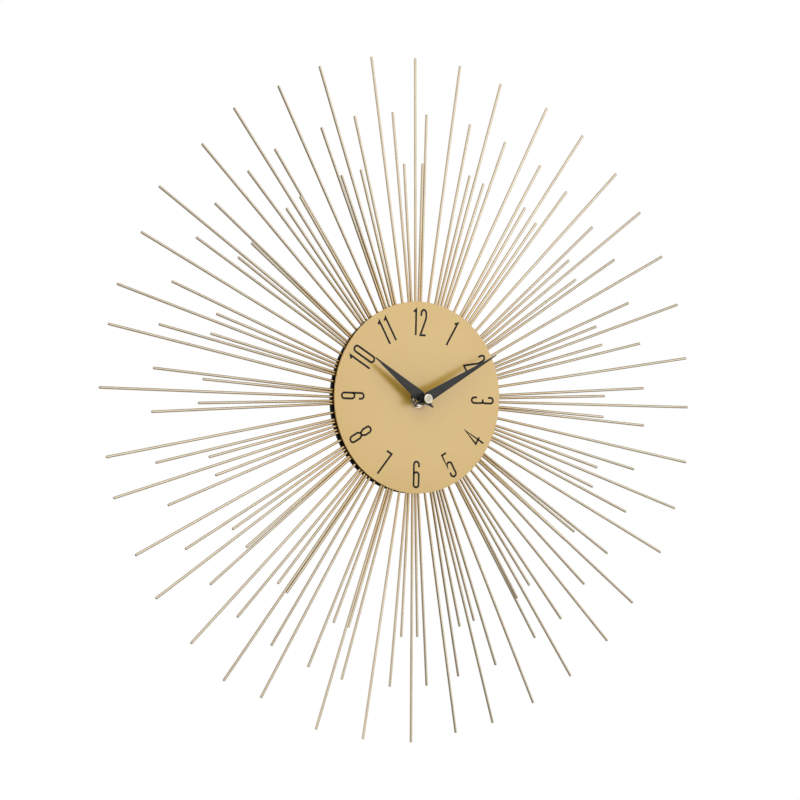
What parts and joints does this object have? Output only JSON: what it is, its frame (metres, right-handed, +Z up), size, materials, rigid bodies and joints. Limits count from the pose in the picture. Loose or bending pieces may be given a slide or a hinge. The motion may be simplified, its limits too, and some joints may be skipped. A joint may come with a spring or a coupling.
{
  "type": "sunburst wall clock",
  "caption": "Round wall clock: a small gold dial with numerals and two black hands, ringed by long thin gold rods that spread like rays, with a battery quartz movement behind.",
  "frame": {"origin": "on the wall plane, where the hands' axis meets the flat rear face of the movement", "axes": "+Y from the dial into the wall along the hands' axis, +Z up towards 12 o'clock, +X towards 3 o'clock"},
  "size_m": [0.5071, 0.0411, 0.5079],
  "materials": {
    "dial_gold": "satin gold lacquer",
    "ray_gold": "pale gold plate, satin",
    "black_hub": "matt black moulding",
    "hand_black": "satin black paint",
    "cap_silver": "satin silver",
    "chrome": "bright chrome",
    "brass": "machined brass",
    "steel": "zinc plated",
    "rubber": "matt",
    "case_black": "fine spark texture",
    "gear_white": "natural acetal",
    "gear_grey": "grey acetal",
    "magnet": "sintered magnet",
    "copper": "enamelled copper wire",
    "board_green": "green laminate",
    "epoxy": "black epoxy drop",
    "cell_jacket": "printed jacket with no text"
  },
  "bodies": {
    "clock": {"dial_plate": "dial_gold", "backing_disc": "black_hub", "ray_fan_01": "ray_gold", "ray_fan_02": "ray_gold", "ray_fan_03": "ray_gold", "ray_fan_04": "ray_gold", "ray_fan_05": "ray_gold", "ray_fan_06": "ray_gold", "ray_fan_07": "ray_gold", "ray_fan_08": "ray_gold", "ray_fan_09": "ray_gold", "ray_fan_10": "ray_gold", "ray_fan_11": "ray_gold", "ray_fan_12": "ray_gold", "ray_fan_13": "ray_gold", "ray_fan_14": "ray_gold", "ray_fan_15": "ray_gold", "ray_fan_16": "ray_gold", "ray_fan_17": "ray_gold", "ray_fan_18": "ray_gold", "ray_fan_19": "ray_gold", "ray_fan_20": "ray_gold", "fixing_nut": "chrome", "front_washer": "chrome", "threaded_bushing": "brass", "rubber_washer": "rubber", "hanger_bracket": "steel", "movement_case": "case_black", "rear_cover": "case_black", "train_plate": "case_black", "stator_core": "steel", "coil_bobbin": "gear_white", "coil_winding": "copper", "circuit_board": "board_green", "control_chip": "epoxy", "quartz_crystal": "steel", "positive_contact": "brass", "negative_spring": "steel"},
    "minute_hand": {"minute_hand": "hand_black", "hand_cap": "cap_silver", "minute_shaft": "steel"},
    "hour_hand": {"hour_hand": "hand_black", "hour_wheel": "gear_white"},
    "motion_wheel": {"motion_wheel": "gear_white"},
    "time_set_knob": {"time_set_knob": "case_black"},
    "rotor": {"rotor_magnet": "magnet", "rotor_pinion": "gear_white"},
    "intermediate_wheel": {"intermediate_wheel": "gear_grey"},
    "second_wheel": {"second_wheel": "gear_white"},
    "third_wheel": {"third_wheel": "gear_grey"},
    "centre_wheel": {"centre_wheel": "gear_white"},
    "battery": {"aa_battery": "cell_jacket"}
  },
  "joints": [
    {"name": "minute_hand_turn", "type": "hinge", "parent": "clock", "child": "minute_hand", "pos_m": [0, -0.036, 0], "axis": [0, 1, 0], "continuous": true},
    {"name": "hour_hand_turn", "type": "hinge", "parent": "clock", "child": "hour_hand", "pos_m": [0, -0.0334, 0], "axis": [0, 1, 0], "continuous": true},
    {"name": "motion_wheel_turn", "type": "hinge", "parent": "clock", "child": "motion_wheel", "pos_m": [0.006, -0.0113, 0], "axis": [0, 1, 0], "continuous": true},
    {"name": "time_set_knob_turn", "type": "hinge", "parent": "clock", "child": "time_set_knob", "pos_m": [0.012, -0.0013, 0], "axis": [0, 1, 0], "continuous": true},
    {"name": "rotor_turn", "type": "hinge", "parent": "clock", "child": "rotor", "pos_m": [0.00176, -0.0075, 0.01608], "axis": [0, 1, 0], "continuous": true},
    {"name": "intermediate_wheel_turn", "type": "hinge", "parent": "clock", "child": "intermediate_wheel", "pos_m": [-0.00304, -0.0039, 0.01608], "axis": [0, 1, 0], "continuous": true},
    {"name": "second_wheel_turn", "type": "hinge", "parent": "clock", "child": "second_wheel", "pos_m": [-0.007, -0.0052, 0.01212], "axis": [0, 1, 0], "continuous": true},
    {"name": "third_wheel_turn", "type": "hinge", "parent": "clock", "child": "third_wheel", "pos_m": [-0.0034, -0.0066, 0.00589], "axis": [0, 1, 0], "continuous": true},
    {"name": "centre_wheel_turn", "type": "hinge", "parent": "clock", "child": "centre_wheel", "pos_m": [0, -0.0082, 0], "axis": [0, 1, 0], "continuous": true},
    {"name": "battery_out", "type": "slide", "parent": "clock", "child": "battery", "axis": [0, 1, 0], "range_m": [0, 0.02]}
  ],
  "couplings": [
    {"joint": "hour_hand_turn", "follows": "minute_hand_turn", "ratio": 0.083333},
    {"joint": "motion_wheel_turn", "follows": "minute_hand_turn", "ratio": -0.33333},
    {"joint": "time_set_knob_turn", "follows": "minute_hand_turn", "ratio": 1},
    {"joint": "intermediate_wheel_turn", "follows": "rotor_turn", "ratio": -0.2},
    {"joint": "second_wheel_turn", "follows": "rotor_turn", "ratio": 0.033333},
    {"joint": "third_wheel_turn", "follows": "rotor_turn", "ratio": -0.0041667},
    {"joint": "centre_wheel_turn", "follows": "rotor_turn", "ratio": 0.00055556}
  ]
}
